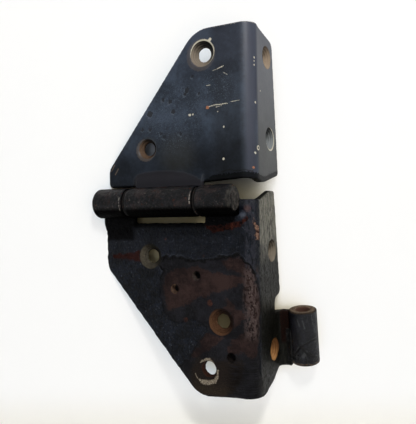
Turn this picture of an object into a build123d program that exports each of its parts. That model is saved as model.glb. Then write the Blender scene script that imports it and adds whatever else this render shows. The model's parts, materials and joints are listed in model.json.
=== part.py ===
from build123d import *
import os
from math import atan, cos, degrees, radians, sin, sqrt

# Windshield hinge, in millimetres. +Z is up, -Y faces forward, +X points outboard.
# The pieces are laid out from three datums: X = 0 is the outer face of the side flanges,
# Y = 0 is the mounting plane behind the face plates, and Z = 0 is the pin axis.

# plate and bends
plate = 4.8
bend_inner = 4.0
edge_round = 0.6
over = 20.0
tiny = 0.01

# pin, knuckles and washers, from the flange inwards
pin_radius = 4.75
running_clearance = 0.05
side_clearance = 0.1
washer_thickness = 1.4
barrel_inset = 10.0
right_knuckle = 22.4
middle_knuckle = 48.6
left_knuckle = 24.0
joggle = 1.6
joggle_length = 9.0
cowl_neck = 11.0
frame_neck = 10.5
roll_angle = 294.0
gap_rim = 0.8
end_rim = 1.7
head_radius = 6.2
head_taper = 1.2
head_crown = 0.5
head_flat = 3.4
washer_recess = 0.9

# windshield leaf: face plate
frame_top = 106.4
frame_width = 104.7
frame_foot_gap = 1.0
frame_shoulder = 22.9
frame_slant = 51.6
frame_top_round = 20.0
frame_shoulder_round = 8.0
frame_foot_round = 3.0
frame_notch_gap = 2.1
frame_notch_rise = 1.5

# windshield leaf: side flange
frame_flange_top = 28.9
frame_flange_foot = 37.0
frame_flange_drop = 5.6
frame_flange_brow_at = 1.6
frame_flange_brow_round = 9.0
frame_flange_crest_at = 6.0
frame_flange_crest = 1.8
frame_flange_lift = 3.4
frame_flange_low_at = 10.0
frame_flange_sag = 2.6
frame_flange_top_round = 5.0
frame_flange_foot_round = 2.5
frame_flange_sag_round = 18.0

# cowl leaf: face plate
cowl_bottom = 120.4
cowl_bottom_at = 39.1
cowl_bottom_rise = 2.0
cowl_bottom_level_at = 14.0
cowl_bottom_level_round = 60.0
cowl_shoulder = 41.2
cowl_shoulder_round = 18.0
cowl_bottom_round = 16.0
slot_gap = 3.7
cowl_top = 0.5

# cowl leaf: side flange, and the relief above its arm
cowl_flange_top = 28.6
cowl_flange_lift = 5.8
cowl_flange_rise_at = 6.0
cowl_flange_lift_at = 24.0
cowl_flange_foot = 37.3
cowl_flange_low = 59.2
cowl_flange_crest_round = 6.0
cowl_flange_top_round = 3.0
cowl_flange_low_round = 2.5
relief_drop = 3.6
relief_round = 4.0
cowl_tail_at = 24.6
cowl_tail = 112.9
cowl_tail_low_at = 8.4
cowl_tail_round = 6.0

# arm and door eye, along an axis that leans forward at the top
eye_lean = 9.6
arm_at = 27.0
arm_top = 71.5
arm_height = 36.5
eye_reach = 16.1
eye_outer = 8.8
eye_bore = 4.4
eye_length = 35.0
eye_rise = 1.45
eye_chamfer = 0.5
weld_leg = 3.6
weld_length = 22.4
weld_offset = 0.3
weld_fit = 0.03

# holes, each placed by its distance from the flange or the mounting plane and its height
face_hole = 4.25
face_head = 8.2
frame_lower_head = 7.3
flange_hole = 3.6
flange_head = 6.9
corner_hole = 4.4
pilot_hole = 2.6
pilot_depth = 3.6
frame_upper_screw = (-33.3, 90.8)
frame_lower_screw = (-74.4, 35.0)
cowl_upper_screw = (-73.0, -34.5)
cowl_lower_screw = (-23.2, -73.5)
corner_screw = (-31.8, -102.6)
pilot_screws = [(-39.8, -46.1), (-55.3, -54.8), (-16.9, -94.4)]
frame_side_upper = (19.0, 89.5)
frame_side_lower = (22.5, 39.1)
cowl_side_upper = (23.3, -31.5)
cowl_side_lower = (25.0, -94.0)

# worked out from the sizes above
bore = pin_radius + running_clearance
barrel_radius = bore + plate
pin_y = -(joggle + barrel_radius)
washer_gap = washer_thickness + 2 * side_clearance
right_end = -barrel_inset
right_joint = right_end - right_knuckle
middle_right = right_joint - washer_gap
middle_left = middle_right - middle_knuckle
left_joint = middle_left - washer_gap
left_end = left_joint - left_knuckle
bend_line = -(plate + bend_inner)
cowl_joggle_start = -(cowl_neck + joggle_length)
frame_joggle_start = frame_neck + joggle_length
origin_x = (cowl_upper_screw[0] + cowl_lower_screw[0]) / 2
origin_z = (cowl_upper_screw[1] + cowl_lower_screw[1]) / 2
eye_middle = bend_inner + plate / 2
eye_plane = Plane(
    origin=(0, arm_at, -arm_top),
    x_dir=(1, 0, 0),
    z_dir=(0, -sin(radians(eye_lean)), cos(radians(eye_lean))),
)


def outline(corners):
    # a closed face from corners given as (across, up, corner radius)
    points = [(across, up) for across, up, _ in corners]
    line = FilletPolyline(*points, radius=[corner[2] for corner in corners], close=True)
    return make_face(line)


def formed_strip(start, heading, steps):
    # edge view of a strip of plate: (length, 0) is a straight run and (inside radius, angle)
    # a bend, to the left of the way it is heading when the angle is positive
    x, y = start
    strip = Sketch()
    for size, turn in steps:
        ahead = Vector(cos(radians(heading)), sin(radians(heading)))
        left = Vector(-ahead.Y, ahead.X)
        here = Vector(x, y)
        if turn == 0:
            there = here + ahead * size
            edge = left * (plate / 2)
            strip += make_face(Polyline(here - edge, there - edge, there + edge, here + edge, close=True))
        else:
            side = 1 if turn > 0 else -1
            middle = size + plate / 2
            centre = here + left * (side * middle)
            first = heading - 90 * side
            outer = CenterArc(centre, size + plate, first, turn)
            inner = CenterArc(centre, size, first, turn)
            strip += make_face([outer, inner, Line(outer @ 0, inner @ 0), Line(outer @ 1, inner @ 1)])
            last = radians(first + turn)
            there = centre + Vector(cos(last), sin(last)) * middle
            heading += turn
        x, y = there.X, there.Y
    return strip


def bent_blank(width, depth, low, high):
    # the plate seen from above, bent back along its right edge
    section = outline([
        (-width, 0, 0),
        (-plate, 0, bend_inner),
        (-plate, depth, 0),
        (0, depth, 0),
        (0, -plate, bend_inner + plate),
        (-width, -plate, 0),
    ])
    return extrude(Plane.XY.offset(low) * section, high - low)


def trimmed(blank, face, flange):
    # up to the bend the plate has its outline seen from the front, past it that seen from the side
    reach = 2 * (blank.bounding_box().size.X + blank.bounding_box().size.Y)
    slab = Box(reach, 2 * reach, 2 * reach)
    face_side = Pos(bend_line - reach / 2, 0, 0) * slab
    flange_side = Pos(bend_line + reach / 2, 0, 0) * slab
    face_punch = extrude(Plane.XZ * face, reach, both=True)
    flange_punch = extrude(Plane.YZ * flange, reach, both=True)
    return (blank & face_side & face_punch) + (blank & flange_side & flange_punch)


def knuckle(low, high, neck, upwards):
    # a strip that steps forward out of the plate, runs up to the pin and rolls round it,
    # its rims bevelled more at the outer ends of the hinge than at the gaps
    bend = 2 * degrees(atan(joggle / joggle_length))
    inside = joggle_length / (2 * sin(radians(bend))) - plate / 2
    side = 1 if upwards else -1
    steps = [(plate, 0), (inside, side * bend), (inside, -side * bend), (neck, 0), (bore, side * roll_angle)]
    start = (-plate / 2, -side * (neck + joggle_length + plate))
    strip = formed_strip(start, 90 * side, steps)
    rolled = extrude(Plane.YZ.offset(low) * strip, high - low)
    for x in (low, high):
        rims = rolled.edges().filter_by(GeomType.CIRCLE).filter_by(lambda e: abs(e.radius - barrel_radius) < tiny)
        at_end = rims.filter_by_position(Axis.X, x - tiny, x + tiny)
        rolled = chamfer(at_end, end_rim if x in (left_end, right_end) else gap_rim)
    return rolled


def countersunk(head, hole):
    # a screw hole along +Z, its head cone opening at Z = 0
    depth = head - hole
    profile = Polyline(
        (0, edge_round),
        (head + edge_round, edge_round),
        (hole, -depth),
        (hole, -over),
        (0, -over),
        close=True,
    )
    return revolve(Plane.XZ * make_face(profile), Axis.Z)


def plain_hole(hole, depth):
    return Cylinder(hole, 2 * depth)


def on_face(place):
    # where a screw enters the face plate, seen from the front
    return Plane(origin=(place[0], -plate, place[1]), x_dir=(1, 0, 0), z_dir=(0, -1, 0))


def on_flange(place):
    # where a screw enters the side flange, seen from outboard
    return Plane(origin=(0, place[0], place[1]), x_dir=(0, 1, 0), z_dir=(1, 0, 0))


def windshield_leaf():
    slant = radians(frame_slant)
    foot = barrel_radius + frame_foot_gap
    notch = barrel_radius + frame_notch_gap
    notch_end = notch + frame_notch_rise
    crest = frame_width - (frame_top - frame_shoulder) * cos(slant) / sin(slant)
    face = outline([
        (over, frame_top, 0),
        (-crest, frame_top, frame_top_round),
        (-frame_width, frame_shoulder, frame_shoulder_round),
        (-frame_width, foot, frame_foot_round),
        (middle_left, foot, 0),
        (middle_left, frame_joggle_start, 0),
        (middle_right, frame_joggle_start, 0),
        (middle_right, notch, 0),
        (bend_line, notch_end, 0),
        (over, notch_end, 0),
    ])
    flange_low = notch_end - frame_flange_sag
    flange = outline([
        (-over, frame_top, 0),
        (frame_flange_brow_at, frame_top, frame_flange_brow_round),
        (frame_flange_crest_at, frame_top - frame_flange_crest, frame_flange_brow_round),
        (frame_flange_top, frame_top - frame_flange_drop, frame_flange_top_round),
        (frame_flange_foot, notch_end + frame_flange_lift, frame_flange_foot_round),
        (frame_flange_low_at, flange_low, frame_flange_sag_round),
        (0, notch_end, 0),
        (-over, notch_end, 0),
    ])
    blank = bent_blank(frame_width, frame_flange_foot, flange_low, frame_top)
    leaf = trimmed(blank, face, flange)
    leaf += knuckle(middle_left, middle_right, frame_neck, False)
    leaf -= on_face(frame_upper_screw) * countersunk(face_head, face_hole)
    leaf -= on_face(frame_lower_screw) * countersunk(frame_lower_head, face_hole)
    for place in (frame_side_upper, frame_side_lower):
        leaf -= on_flange(place) * countersunk(flange_head, flange_hole)
    return leaf


def arm():
    # the flange's tab, bent outboard and coped to the tube
    reach = eye_reach - bend_inner
    strip = formed_strip((-plate / 2, -plate), 90, [(plate, 0), (bend_inner, -90), (reach, 0)])
    tab = extrude(eye_plane.offset(-arm_height) * strip, arm_height)
    cope = eye_plane * Pos(eye_reach, eye_middle, 0) * Cylinder(eye_outer + weld_fit, 4 * arm_height)
    beyond = eye_plane * Pos(eye_reach + over / 2, eye_middle, 0) * Box(over, 4 * over, 4 * arm_height)
    return tab - cope - beyond


def cowl_leaf():
    bottom_bend = -cowl_bottom + cowl_bottom_rise
    slot_floor = -(barrel_radius + slot_gap)
    face = outline([
        (over, bottom_bend, 0),
        (-cowl_bottom_level_at, bottom_bend, cowl_bottom_level_round),
        (-cowl_bottom_at, -cowl_bottom, cowl_bottom_round),
        (left_end, -cowl_shoulder, cowl_shoulder_round),
        (left_end, cowl_joggle_start, 0),
        (left_joint, cowl_joggle_start, 0),
        (left_joint, slot_floor, 0),
        (right_joint, slot_floor, 0),
        (right_joint, cowl_joggle_start, 0),
        (right_end, cowl_joggle_start, 0),
        (right_end, cowl_top, 0),
        (over, cowl_top, 0),
    ])
    lean = radians(eye_lean)
    tab_foot = (arm_at + arm_height * sin(lean), -arm_top - arm_height * cos(lean))
    flange = outline([
        (-over, cowl_top, 0),
        (cowl_flange_rise_at, cowl_top, cowl_flange_crest_round),
        (cowl_flange_lift_at, cowl_top + cowl_flange_lift, cowl_flange_crest_round),
        (cowl_flange_top, cowl_top + cowl_flange_lift, cowl_flange_top_round),
        (cowl_flange_foot, -cowl_flange_low, cowl_flange_low_round),
        (arm_at, -cowl_flange_low - relief_drop, relief_round),
        (arm_at, -arm_top, 0),
        (tab_foot[0], tab_foot[1], 0),
        (cowl_tail_at, -cowl_tail, cowl_tail_round),
        (cowl_tail_low_at, bottom_bend, cowl_tail_round),
        (-over, bottom_bend, 0),
    ])
    width = -left_end
    blank = bent_blank(width, cowl_flange_foot, -cowl_bottom, cowl_top + cowl_flange_lift)
    leaf = trimmed(blank, face, flange) + arm()
    leaf += knuckle(left_end, left_joint, cowl_neck, True)
    leaf += knuckle(right_joint, right_end, cowl_neck, True)
    for x, outward in ((left_end, -1), (right_end, 1)):
        leaf -= pin_mouth(x, outward)
    for place in (cowl_upper_screw, cowl_lower_screw):
        leaf -= on_face(place) * countersunk(face_head, face_hole)
    leaf -= on_face(corner_screw) * plain_hole(corner_hole, over)
    for place in pilot_screws:
        leaf -= on_face(place) * plain_hole(pilot_hole, pilot_depth)
    for place in (cowl_side_upper, cowl_side_lower):
        leaf -= on_flange(place) * countersunk(flange_head, flange_hole)
    return leaf


def pin_mouth(x, outward):
    # the countersunk mouth of an end knuckle, where the pin's spread end sits
    mouth = Cone(bore, head_radius + running_clearance, head_taper)
    return Plane(origin=(x - outward * head_taper / 2, pin_y, 0), z_dir=(outward, 0, 0)) * mouth


def hinge_pin():
    # one pin through the three knuckles, both ends spread and peened into low crowns that hold it
    profile = make_face(Polyline(
        (left_end - head_crown, 0),
        (left_end - head_crown, head_flat),
        (left_end, head_radius),
        (left_end + head_taper, pin_radius),
        (right_end - head_taper, pin_radius),
        (right_end, head_radius),
        (right_end + head_crown, head_flat),
        (right_end + head_crown, 0),
        close=True,
    ))
    return Pos(0, pin_y, 0) * revolve(profile, Axis.X)


def thrust_washer(joint):
    # one thin washer, centred in the gap left of the joint
    ring = Cylinder(barrel_radius - washer_recess, washer_thickness) - Cylinder(bore, washer_thickness)
    return Plane(origin=(joint - washer_gap / 2, pin_y, 0), z_dir=(1, 0, 0)) * ring


def door_eye():
    # the tube that takes the door hinge's pin
    tube = Cylinder(eye_outer, eye_length) - Cylinder(eye_bore, eye_length)
    rims = tube.edges().filter_by(GeomType.CIRCLE)
    tube = chamfer(rims, eye_chamfer)
    return eye_plane * Pos(eye_reach, eye_middle, eye_rise - eye_length / 2) * tube


def eye_weld(rear):
    # a fillet bead between a side of the arm and the tube, hollow-faced
    side = 1 if rear else -1
    wall = eye_middle + side * plate / 2
    across = sqrt(eye_outer ** 2 - (plate / 2) ** 2)
    corner = Vector(eye_reach - across, wall)
    foot = Vector(corner.X - weld_leg, wall)
    crown = Vector(corner.X + weld_leg / 4, wall + side * weld_leg)
    middle = (foot + crown) * 0.5 + (corner - (foot + crown) * 0.5) * 0.3
    back = Vector(eye_reach, wall)
    top = Vector(eye_reach, crown.Y)
    bead = make_face([
        ThreePointArc(foot, middle, crown),
        Line(crown, top),
        Line(top, back),
        Line(back, foot),
    ])
    bead -= Pos(eye_reach, eye_middle) * Circle(eye_outer + weld_fit)
    foot_height = eye_rise - eye_length + weld_offset
    return extrude(eye_plane.offset(foot_height) * bead, weld_length)


pieces = {
    "windshield_leaf": windshield_leaf(),
    "cowl_leaf": cowl_leaf(),
    "hinge_pin": hinge_pin(),
    "thrust_washer_left": thrust_washer(middle_left),
    "thrust_washer_right": thrust_washer(right_joint),
    "door_eye": door_eye(),
    "eye_weld_front": eye_weld(False),
    "eye_weld_rear": eye_weld(True),
}

os.makedirs("parts", exist_ok=True)
for name, piece in pieces.items():
    placed = Pos(-origin_x, 0, -origin_z) * piece
    export_step(placed, f"parts/{name}.step")
    print(name, round(placed.volume, 1), len(placed.solids()))
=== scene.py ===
import json
from math import cos, pi, radians, sin
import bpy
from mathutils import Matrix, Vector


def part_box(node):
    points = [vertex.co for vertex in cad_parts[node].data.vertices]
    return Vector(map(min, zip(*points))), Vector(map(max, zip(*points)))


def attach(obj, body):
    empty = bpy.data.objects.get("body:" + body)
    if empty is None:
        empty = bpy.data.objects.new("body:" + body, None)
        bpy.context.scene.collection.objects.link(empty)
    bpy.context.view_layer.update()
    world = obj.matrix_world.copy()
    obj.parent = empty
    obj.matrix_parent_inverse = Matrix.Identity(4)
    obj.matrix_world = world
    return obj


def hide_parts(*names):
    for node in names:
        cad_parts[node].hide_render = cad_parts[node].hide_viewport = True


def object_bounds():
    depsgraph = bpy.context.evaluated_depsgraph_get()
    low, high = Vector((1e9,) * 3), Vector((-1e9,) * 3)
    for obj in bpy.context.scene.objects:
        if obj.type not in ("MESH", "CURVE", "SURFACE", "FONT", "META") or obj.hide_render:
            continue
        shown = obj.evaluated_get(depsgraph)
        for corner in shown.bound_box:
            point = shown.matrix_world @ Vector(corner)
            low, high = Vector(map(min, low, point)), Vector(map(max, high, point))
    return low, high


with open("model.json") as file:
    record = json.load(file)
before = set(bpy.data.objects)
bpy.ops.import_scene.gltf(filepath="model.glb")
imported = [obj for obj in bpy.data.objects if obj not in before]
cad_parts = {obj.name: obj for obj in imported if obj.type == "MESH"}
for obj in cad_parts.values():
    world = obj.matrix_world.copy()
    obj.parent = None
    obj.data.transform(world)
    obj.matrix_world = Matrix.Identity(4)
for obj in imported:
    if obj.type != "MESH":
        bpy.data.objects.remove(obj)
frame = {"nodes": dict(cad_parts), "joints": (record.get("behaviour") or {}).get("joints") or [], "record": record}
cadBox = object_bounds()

from types import SimpleNamespace

import bmesh
import bpy
import numpy as np
from mathutils import Matrix, Vector, noise

mm = 0.001
scene = bpy.context.scene
print("frame loaded:", len(frame["nodes"]), "nodes")


# places taken from the frame, in millimetres
def inMillimetres(point):
    return [coordinate / mm for coordinate in point]


def mount(name):
    return next(m for m in frame["record"]["mounts"] if m["name"] == name)


pivot = inMillimetres(frame["joints"][0]["pos_m"])
leafLow, leafHigh = (inMillimetres(corner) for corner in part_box("windshield_leaf"))
cowlLow, cowlHigh = (inMillimetres(corner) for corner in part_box("cowl_leaf"))
washerLeft = [corner[0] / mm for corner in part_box("thrust_washer_left")]
washerRight = [corner[0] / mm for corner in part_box("thrust_washer_right")]
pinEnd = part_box("hinge_pin")[1][0] / mm

plate = {
    "bendRadius": 8.8,   # outside of the bend
    "flangeX": leafHigh[0],   # outer face of both side flanges
    "faceY": -4.8,
}
plate["bendX"] = plate["flangeX"] - plate["bendRadius"]
plate["bendY"] = plate["faceY"] + plate["bendRadius"]
plate["flangeStart"] = plate["bendX"] + plate["bendRadius"] * pi / 2   # on the flattened plate

barrelRadius = pivot[1] - leafLow[1]
barrelEnd = pinEnd - 0.5   # the pin's crown stands out by this much


# small helpers for node trees
def paintColour(red, green, blue):
    def linear(value):
        value /= 255
        return value / 12.92 if value <= 0.04045 else ((value + 0.055) / 1.055) ** 2.4
    return (linear(red), linear(green), linear(blue), 1)


def tonesOf(look):
    return {name: paintColour(*tone) for name, tone in look["tones"].items()}


def feed(tree, socket, value):
    if isinstance(value, bpy.types.NodeSocket):
        tree.links.new(value, socket)
    elif value is not None:
        socket.default_value = value


def addNode(tree, kind, inputs=(), **settings):
    node = tree.nodes.new("ShaderNode" + kind)
    for name, value in settings.items():
        setattr(node, name, value)
    for key, value in dict(inputs).items():
        feed(tree, node.inputs[key], value)
    return node


def calc(tree, operation, first, second=None, third=None, clamp=False):
    node = addNode(tree, "Math", {0: first, 1: second, 2: third}, operation=operation, use_clamp=clamp)
    return node.outputs[0]


def vectorCalc(tree, operation, first, second=None, output="Vector"):
    node = addNode(tree, "VectorMath", {0: first, 1: second}, operation=operation)
    return node.outputs[output]


def grain(tree, place, scale, detail=3.0, roughness=0.55, distortion=0.0):
    node = addNode(tree, "TexNoise", {
        "Vector": place, "Scale": scale, "Detail": detail, "Roughness": roughness, "Distortion": distortion,
    })
    return node.outputs["Fac"]


def ease(tree, value, low, high, start=0.0, end=1.0):
    node = addNode(tree, "MapRange", {
        "Value": value, "From Min": low, "From Max": high, "To Min": start, "To Max": end,
    }, interpolation_type="SMOOTHSTEP")
    return node.outputs["Result"]


def fade(tree, value, low, high):
    # one at low, nothing at high
    return ease(tree, value, high, low)


def within(tree, value, low, high, soft):
    # from low to high, with soft ends
    return times(tree, ease(tree, value, low - soft, low + soft), fade(tree, value, high - soft, high + soft))


def added(tree, base, extra, share):
    return calc(tree, "MULTIPLY_ADD", extra, share, base)


def apart(tree, first, second):
    return calc(tree, "ABSOLUTE", calc(tree, "SUBTRACT", first, second))


def unevenness(tree, *settings):
    # grain from -0.5 to 0.5
    return calc(tree, "SUBTRACT", grain(tree, *settings), 0.5)


def split(tree, vector):
    return addNode(tree, "SeparateXYZ", {0: vector}).outputs


def lengthOf(tree, vector):
    return vectorCalc(tree, "LENGTH", vector, output="Value")


def squareOn(tree, at, centre):
    # the way from a centre to each point, seen square to the plate
    return vectorCalc(tree, "MULTIPLY", vectorCalc(tree, "SUBTRACT", at, centre), (1, 0, 1))


def blendColour(tree, mask, below, above, how="MIX"):
    node = addNode(tree, "Mix", {0: mask, 6: below, 7: above}, data_type="RGBA", blend_type=how)
    return node.outputs[2]


def blendValue(tree, mask, below, above):
    node = addNode(tree, "Mix", {0: mask, 2: below, 3: above}, data_type="FLOAT")
    return node.outputs[0]


def times(tree, *masks):
    result = masks[0]
    for mask in masks[1:]:
        result = calc(tree, "MULTIPLY", result, mask, clamp=True)
    return result


def anyOf(tree, *masks):
    result = masks[0]
    for mask in masks[1:]:
        result = calc(tree, "MAXIMUM", result, mask)
    return result


def coat(tree, colour, layer, *masks):
    # a layer laid over a colour where all the masks are
    return blendColour(tree, times(tree, *masks), colour, layer)


def darken(tree, mask, colour, share):
    return blendColour(tree, mask, colour, (share, share, share, 1), "MULTIPLY")


def stretched(tree, place, across, along, up):
    return vectorCalc(tree, "MULTIPLY", place, (across, along, up))


# node groups that several finishes share
def newGroup(name, inputs, outputs):
    tree = bpy.data.node_groups.new(name, "ShaderNodeTree")
    for socketName, kind, value in inputs:
        socket = tree.interface.new_socket(socketName, in_out="INPUT", socket_type="NodeSocket" + kind)
        socket.default_value = value
    for socketName, kind in outputs:
        tree.interface.new_socket(socketName, in_out="OUTPUT", socket_type="NodeSocket" + kind)
    return tree, tree.nodes.new("NodeGroupInput").outputs, tree.nodes.new("NodeGroupOutput").inputs


def buildSpot():
    # a round patch with a ragged edge, seen square to the plate
    tree, given, result = newGroup("raggedSpot", [
        ("Place", "Vector", (0, 0, 0)), ("Centre", "Vector", (0, 0, 0)),
        ("Radius", "Float", 1), ("Ragged", "Float", 0), ("Soft", "Float", 0.1),
    ], [("Mask", "Float")])
    offset = squareOn(tree, given["Place"], given["Centre"])
    away = lengthOf(tree, offset)
    wobble = unevenness(tree, given["Place"], 0.8, 4)
    away = added(tree, away, wobble, given["Ragged"])
    inner = calc(tree, "SUBTRACT", given["Radius"], given["Soft"])
    outer = calc(tree, "ADD", given["Radius"], given["Soft"])
    feed(tree, result["Mask"], fade(tree, away, inner, outer))
    return tree


def buildLine():
    # a straight scratch with a ragged edge, seen square to the plate
    tree, given, result = newGroup("raggedLine", [
        ("Place", "Vector", (0, 0, 0)), ("Start", "Vector", (0, 0, 0)), ("End", "Vector", (0, 0, 0)),
        ("Width", "Float", 1), ("Ragged", "Float", 0), ("Soft", "Float", 0.1),
    ], [("Mask", "Float")])
    along = vectorCalc(tree, "SUBTRACT", given["End"], given["Start"])
    offset = squareOn(tree, given["Place"], given["Start"])
    reach = vectorCalc(tree, "DOT_PRODUCT", offset, along, "Value")
    length = vectorCalc(tree, "DOT_PRODUCT", along, along, "Value")
    share = calc(tree, "DIVIDE", reach, length, clamp=True)
    foot = addNode(tree, "VectorMath", {0: along, "Scale": share}, operation="SCALE").outputs["Vector"]
    away = lengthOf(tree, vectorCalc(tree, "SUBTRACT", offset, foot))
    wobble = unevenness(tree, given["Place"], 1.1, 4)
    away = added(tree, away, wobble, given["Ragged"])
    half = calc(tree, "MULTIPLY", given["Width"], 0.5)
    inner = calc(tree, "SUBTRACT", half, given["Soft"])
    outer = calc(tree, "ADD", half, given["Soft"])
    feed(tree, result["Mask"], fade(tree, away, inner, outer))
    return tree


def buildRust():
    # the colour and tooth of rusted steel
    tree, given, result = newGroup("rustSkin", [
        ("Place", "Vector", (0, 0, 0)), ("Age", "Float", 0.5),
    ], [("Colour", "Color"), ("Height", "Float")])
    coarse = grain(tree, given["Place"], 0.28, 5, 0.6, 0.6)
    fine = grain(tree, given["Place"], 1.9, 4, 0.7)
    value = added(tree, coarse, calc(tree, "SUBTRACT", fine, 0.5), 0.7)
    value = calc(tree, "ADD", value, calc(tree, "SUBTRACT", 0.5, given["Age"]))
    ramp = addNode(tree, "ValToRGB", {"Fac": value})
    stops = ramp.color_ramp.elements
    stops[0].position, stops[0].color = 0.25, paintColour(22, 14, 12)
    stops[1].position, stops[1].color = 0.86, paintColour(150, 104, 70)
    for position, colour in ((0.45, (50, 28, 21)), (0.62, (86, 48, 32)), (0.74, (120, 72, 44))):
        stops.new(position).color = paintColour(*colour)
    feed(tree, result["Colour"], ramp.outputs["Color"])
    feed(tree, result["Height"], fine)
    return tree


def buildPaint():
    # the unevenness of brushed and weathered paint: clouds of tone and a fine orange peel
    tree, given, result = newGroup("paintSkin", [
        ("Place", "Vector", (0, 0, 0)),
    ], [("Mottle", "Float"), ("Streak", "Float"), ("Height", "Float")])
    cloud = grain(tree, given["Place"], 0.055, 4, 0.6, 0.3)
    speckle = grain(tree, given["Place"], 0.55, 5, 0.65)
    mottle = added(tree, cloud, calc(tree, "SUBTRACT", speckle, 0.5), 0.5)
    streak = grain(tree, stretched(tree, given["Place"], 0.9, 0.9, 0.05), 1.0, 4, 0.6)
    peel = grain(tree, given["Place"], 0.9, 3, 0.5)
    lumps = grain(tree, given["Place"], 0.42, 4, 0.6, 0.4)
    feed(tree, result["Mottle"], mottle)
    feed(tree, result["Streak"], streak)
    feed(tree, result["Height"], added(tree, calc(tree, "MULTIPLY", peel, 0.35), lumps, 0.2))
    return tree


def buildCrust():
    # thick flaking paint: curled flakes, wrinkles and grit
    tree, given, result = newGroup("crustSkin", [
        ("Place", "Vector", (0, 0, 0)),
    ], [("Tone", "Float"), ("Glint", "Float"), ("Height", "Float")])
    drift = addNode(tree, "TexNoise",
                    {"Vector": given["Place"], "Scale": 0.35, "Detail": 3.0}).outputs["Color"]
    bent = vectorCalc(tree, "ADD", given["Place"], vectorCalc(tree, "MULTIPLY", drift, (3.5, 3.5, 3.5)))
    flakes = addNode(tree, "TexVoronoi", {"Vector": bent, "Scale": 0.5}, feature="F1").outputs["Distance"]
    grit = grain(tree, given["Place"], 1.25, 4, 0.7)
    wrinkles = grain(tree, given["Place"], 0.42, 5, 0.62, 1.1)
    clumps = grain(tree, given["Place"], 0.13, 3, 0.55)
    seams = grain(tree, given["Place"], 0.11, 5, 0.62, 0.4)
    cracks = fade(tree, apart(tree, seams, 0.5), 0.006, 0.022)
    cracks = times(tree, cracks, ease(tree, wrinkles, 0.42, 0.5))
    tone = added(tree, calc(tree, "MULTIPLY", wrinkles, 0.5), grit, 0.7)
    tone = added(tree, tone, clumps, 0.5)
    tone = added(tree, tone, flakes, -0.3)
    tone = ease(tree, tone, 0.5, 0.95)
    feed(tree, result["Tone"], calc(tree, "SUBTRACT", tone, cracks, clamp=True))
    sparks = grain(tree, vectorCalc(tree, "ADD", given["Place"], (31.0, 17.0, 5.0)), 0.75, 4, 0.65)
    feed(tree, result["Glint"], times(tree, ease(tree, sparks, 0.6, 0.68), ease(tree, clumps, 0.44, 0.56)))
    height = added(tree, wrinkles, flakes, -0.6)
    height = added(tree, height, cracks, -0.6)
    feed(tree, result["Height"], added(tree, height, grit, 0.45))
    return tree


knuckleLook = {
    # rims given a painted highlight: where along the pin, from and to what height about it, how broken up
    "rimHighlights": [(washerLeft[0] - 1.7, -5.5, 5.0, 0.42), (washerRight[0] - 1.2, -3.0, 6.5, 0.4)],
    "chip": ((barrelEnd - 0.4, pivot[2] + 9.0), 0.5),
    "tones": {
        "dark": (2, 3, 4), "light": (20, 21, 26), "stain": (42, 32, 31), "rubbed": (108, 100, 94),
        "endDark": (10, 10, 10), "endLight": (56, 53, 49), "chip": (128, 88, 68), "gap": (2, 2, 2),
        "rimHighlight": (158, 152, 144),
    },
}


def buildKnuckle():
    # where the rolled barrel is: its underside and the gaps beside the washers, given painted shade, the rims
    # given a painted highlight, and its ends
    tree, given, result = newGroup("knuckleZones", [
        ("Place", "Vector", (0, 0, 0)),
    ], [("Barrel", "Float"), ("UnderShade", "Float"), ("GapShade", "Float"), ("Bright", "Float"), ("End", "Float")])
    parts = split(tree, given["Place"])
    offset = vectorCalc(tree, "SUBTRACT", given["Place"], (0, pivot[1], pivot[2]))
    away = lengthOf(tree, vectorCalc(tree, "MULTIPLY", offset, (0, 1, 1)))
    rise = calc(tree, "SUBTRACT", parts[2], pivot[2])
    wobble = unevenness(tree, given["Place"], 0.8, 4)
    barrel = times(tree, fade(tree, away, barrelRadius + 0.35, barrelRadius + 1.1),
                   fade(tree, parts[0], barrelEnd + 0.1, barrelEnd + 0.5))
    gaps = []
    for washer in (washerLeft, washerRight):
        off = apart(tree, parts[0], (washer[0] + washer[1]) / 2)
        gaps.append(fade(tree, added(tree, off, wobble, 0.8), 1.1, 1.5))
    rims = []
    for edge, low, high, broken in knuckleLook["rimHighlights"]:
        off = apart(tree, parts[0], edge)
        rims.append(times(tree, fade(tree, added(tree, off, wobble, 1.2), 0.0, 0.36),
                          ease(tree, rise, low, low + 2.5), fade(tree, rise, high - 2.5, high),
                          ease(tree, grain(tree, given["Place"], 0.9, 3), broken, broken + 0.08)))
    drift = added(tree, parts[0], wobble, 2.0)
    ends = anyOf(tree, ease(tree, drift, barrelEnd - 1.9, barrelEnd - 0.9),
                 fade(tree, drift, cowlLow[0] + 0.6, cowlLow[0] + 1.6))
    feed(tree, result["Barrel"], barrel)
    feed(tree, result["UnderShade"], fade(tree, added(tree, rise, wobble, 2.5), -5.2, -1.8))
    feed(tree, result["GapShade"], times(tree, anyOf(tree, *gaps), barrel))
    feed(tree, result["Bright"], times(tree, anyOf(tree, *rims), barrel))
    feed(tree, result["End"], times(tree, ends, barrel))
    return tree


groups = {
    "spot": buildSpot(),
    "line": buildLine(),
    "rust": buildRust(),
    "paint": buildPaint(),
    "crust": buildCrust(),
    "knuckle": buildKnuckle(),
}


def place(tree, name, **inputs):
    node = tree.nodes.new("ShaderNodeGroup")
    node.node_tree = groups[name]
    for key, value in inputs.items():
        feed(tree, node.inputs[key], value)
    return node.outputs


def onPlate(point):
    return (point[0], 0, point[1])


def shifted(point, shift):
    return (point[0] + shift[0], point[1] + shift[1])


def spot(tree, at, centre, radius, ragged, soft=0.15):
    return place(tree, "spot", Place=at, Centre=onPlate(centre), Radius=radius,
                 Ragged=ragged, Soft=soft)["Mask"]


def scratch(tree, at, start, end, width, ragged, soft=0.12):
    return place(tree, "line", Place=at, Start=onPlate(start), End=onPlate(end),
                 Width=width, Ragged=ragged, Soft=soft)["Mask"]


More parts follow.
